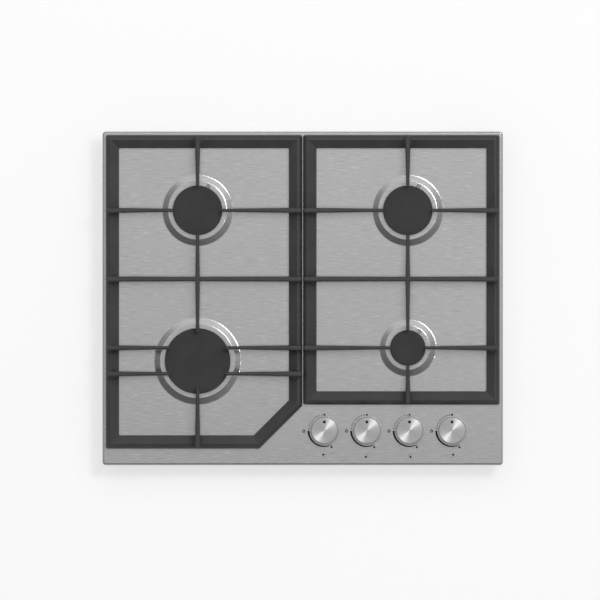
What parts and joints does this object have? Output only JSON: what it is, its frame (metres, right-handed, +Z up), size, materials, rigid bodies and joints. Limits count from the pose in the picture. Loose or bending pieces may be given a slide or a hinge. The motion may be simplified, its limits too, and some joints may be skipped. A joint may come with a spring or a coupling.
{
  "type": "gas cooktop",
  "caption": "Built-in stainless gas cooktop with ring burners, split cast pan supports and a row of front knobs; whole gas and ignition train inside.",
  "frame": {"origin": "under the middle of the plate, at the underside of the burner box", "axes": "+X to the right seen from the front, +Y to the back, +Z up"},
  "size_m": [0.6, 0.5, 0.1],
  "materials": {
    "top_plate": "brushed stainless, grain left to right",
    "rim_seal": "closed-cell foam strip",
    "burner_box": "galvanised sheet",
    "box_nuts": "zinc plated",
    "clamp_brackets": "galvanised",
    "bracket_screws": "zinc plated",
    "gas_rail": "plain drawn steel tube",
    "gas_inlet_fitting": "turned",
    "ignition_module": "moulded",
    "terminal_block": "moulded",
    "cable_grommet": "moulded",
    "control_leads": "silicone insulation",
    "injectors": "turned",
    "cup_screws": "bright",
    "spark_electrodes": "glazed insulator with a steel pin",
    "thermocouples": "heat-tinted",
    "spark_leads": "silicone insulation",
    "thermocouple_leads": "drawn copper",
    "knob_seals": "moulded",
    "ignition_switches": "moulded",
    "burner_cup": "die cast",
    "flame_spreader": "die cast",
    "burner_cap": "matt dark enamel",
    "supply_tube": "drawn, with brass nuts",
    "valve_body": "forged and turned",
    "valve_plug": "lapped",
    "valve_spring": "spring wire",
    "spindle": "turned",
    "knob": "turned, spun face",
    "pan_support": "satin dark enamel",
    "support_feet": "moulded"
  },
  "bodies": {
    "hob_base": {"top_plate": "top_plate", "rim_seal": "rim_seal", "burner_box": "burner_box", "box_nuts": "box_nuts", "clamp_brackets": "clamp_brackets", "bracket_screws": "bracket_screws", "gas_rail": "gas_rail", "gas_inlet_fitting": "gas_inlet_fitting", "ignition_module": "ignition_module", "terminal_block": "terminal_block", "cable_grommet": "cable_grommet", "control_leads": "control_leads", "injectors": "injectors", "cup_screws": "cup_screws", "spark_electrodes": "spark_electrodes", "thermocouples": "thermocouples", "spark_leads": "spark_leads", "thermocouple_leads": "thermocouple_leads", "knob_seals": "knob", "ignition_switches": "ignition_switches", "burner_cup_back_left": "burner_cup", "burner_cup_front_left": "burner_cup", "burner_cup_front_right": "burner_cup", "burner_cup_back_right": "burner_cup", "supply_tube_back_left": "supply_tube", "supply_tube_front_left": "supply_tube", "supply_tube_front_right": "supply_tube", "supply_tube_back_right": "supply_tube", "valve_body_back_left": "valve_body", "valve_body_front_left": "valve_body", "valve_body_front_right": "valve_body", "valve_body_back_right": "valve_body"},
    "valve_rotor_back_left": {"valve_plug_back_left": "valve_plug", "valve_spring_back_left": "valve_spring"},
    "knob_and_spindle_back_left": {"spindle_back_left": "spindle", "knob_back_left": "knob"},
    "spreader_back_left": {"flame_spreader_back_left": "flame_spreader"},
    "cap_back_left": {"burner_cap_back_left": "burner_cap"},
    "valve_rotor_front_left": {"valve_plug_front_left": "valve_plug", "valve_spring_front_left": "valve_spring"},
    "knob_and_spindle_front_left": {"spindle_front_left": "spindle", "knob_front_left": "knob"},
    "spreader_front_left": {"flame_spreader_front_left": "flame_spreader"},
    "cap_front_left": {"burner_cap_front_left": "burner_cap"},
    "valve_rotor_front_right": {"valve_plug_front_right": "valve_plug", "valve_spring_front_right": "valve_spring"},
    "knob_and_spindle_front_right": {"spindle_front_right": "spindle", "knob_front_right": "knob"},
    "spreader_front_right": {"flame_spreader_front_right": "flame_spreader"},
    "cap_front_right": {"burner_cap_front_right": "burner_cap"},
    "valve_rotor_back_right": {"valve_plug_back_right": "valve_plug", "valve_spring_back_right": "valve_spring"},
    "knob_and_spindle_back_right": {"spindle_back_right": "spindle", "knob_back_right": "knob"},
    "spreader_back_right": {"flame_spreader_back_right": "flame_spreader"},
    "cap_back_right": {"burner_cap_back_right": "burner_cap"},
    "support_left": {"pan_support_left": "pan_support", "support_feet_left": "support_feet"},
    "support_right": {"pan_support_right": "pan_support", "support_feet_right": "support_feet"}
  },
  "joints": [
    {"name": "turn_back_left", "type": "hinge", "parent": "hob_base", "child": "valve_rotor_back_left", "pos_m": [0.0325, -0.198, 0.033], "axis": [0, 0, 1], "range_deg": [0, 205]},
    {"name": "press_back_left", "type": "slide", "parent": "valve_rotor_back_left", "child": "knob_and_spindle_back_left", "axis": [0, 0, 1], "range_m": [-0.004, 0], "stiffness_N_per_m": 800, "springref_m": 0.006, "deforming": ["valve_spring_back_left"]},
    {"name": "turn_front_left", "type": "hinge", "parent": "hob_base", "child": "valve_rotor_front_left", "pos_m": [0.0963, -0.198, 0.033], "axis": [0, 0, 1], "range_deg": [0, 205]},
    {"name": "press_front_left", "type": "slide", "parent": "valve_rotor_front_left", "child": "knob_and_spindle_front_left", "axis": [0, 0, 1], "range_m": [-0.004, 0], "stiffness_N_per_m": 800, "springref_m": 0.006, "deforming": ["valve_spring_front_left"]},
    {"name": "turn_front_right", "type": "hinge", "parent": "hob_base", "child": "valve_rotor_front_right", "pos_m": [0.1601, -0.198, 0.033], "axis": [0, 0, 1], "range_deg": [0, 205]},
    {"name": "press_front_right", "type": "slide", "parent": "valve_rotor_front_right", "child": "knob_and_spindle_front_right", "axis": [0, 0, 1], "range_m": [-0.004, 0], "stiffness_N_per_m": 800, "springref_m": 0.006, "deforming": ["valve_spring_front_right"]},
    {"name": "turn_back_right", "type": "hinge", "parent": "hob_base", "child": "valve_rotor_back_right", "pos_m": [0.2239, -0.198, 0.033], "axis": [0, 0, 1], "range_deg": [0, 205]},
    {"name": "press_back_right", "type": "slide", "parent": "valve_rotor_back_right", "child": "knob_and_spindle_back_right", "axis": [0, 0, 1], "range_m": [-0.004, 0], "stiffness_N_per_m": 800, "springref_m": 0.006, "deforming": ["valve_spring_back_right"]},
    {"name": "lift_support_left", "type": "slide", "parent": "hob_base", "child": "support_left", "axis": [0, 0, 1], "range_m": [0, 0.12]},
    {"name": "lift_support_right", "type": "slide", "parent": "hob_base", "child": "support_right", "axis": [0, 0, 1], "range_m": [0, 0.12]},
    {"name": "lift_spreader_back_left", "type": "slide", "parent": "hob_base", "child": "spreader_back_left", "axis": [0, 0, 1], "range_m": [0, 0.04]},
    {"name": "lift_cap_back_left", "type": "slide", "parent": "spreader_back_left", "child": "cap_back_left", "axis": [0, 0, 1], "range_m": [0, 0.04]},
    {"name": "lift_spreader_front_left", "type": "slide", "parent": "hob_base", "child": "spreader_front_left", "axis": [0, 0, 1], "range_m": [0, 0.04]},
    {"name": "lift_cap_front_left", "type": "slide", "parent": "spreader_front_left", "child": "cap_front_left", "axis": [0, 0, 1], "range_m": [0, 0.04]},
    {"name": "lift_spreader_front_right", "type": "slide", "parent": "hob_base", "child": "spreader_front_right", "axis": [0, 0, 1], "range_m": [0, 0.04]},
    {"name": "lift_cap_front_right", "type": "slide", "parent": "spreader_front_right", "child": "cap_front_right", "axis": [0, 0, 1], "range_m": [0, 0.04]},
    {"name": "lift_spreader_back_right", "type": "slide", "parent": "hob_base", "child": "spreader_back_right", "axis": [0, 0, 1], "range_m": [0, 0.04]},
    {"name": "lift_cap_back_right", "type": "slide", "parent": "spreader_back_right", "child": "cap_back_right", "axis": [0, 0, 1], "range_m": [0, 0.04]}
  ],
  "couplings": [
    {"joint": "lift_spreader_back_left", "follows": "lift_support_left", "ratio": 0.3},
    {"joint": "lift_cap_back_left", "follows": "lift_support_left", "ratio": 0.3},
    {"joint": "lift_spreader_front_left", "follows": "lift_support_left", "ratio": 0.3},
    {"joint": "lift_cap_front_left", "follows": "lift_support_left", "ratio": 0.3},
    {"joint": "lift_spreader_front_right", "follows": "lift_support_right", "ratio": 0.3},
    {"joint": "lift_cap_front_right", "follows": "lift_support_right", "ratio": 0.3},
    {"joint": "lift_spreader_back_right", "follows": "lift_support_right", "ratio": 0.3},
    {"joint": "lift_cap_back_right", "follows": "lift_support_right", "ratio": 0.3}
  ]
}
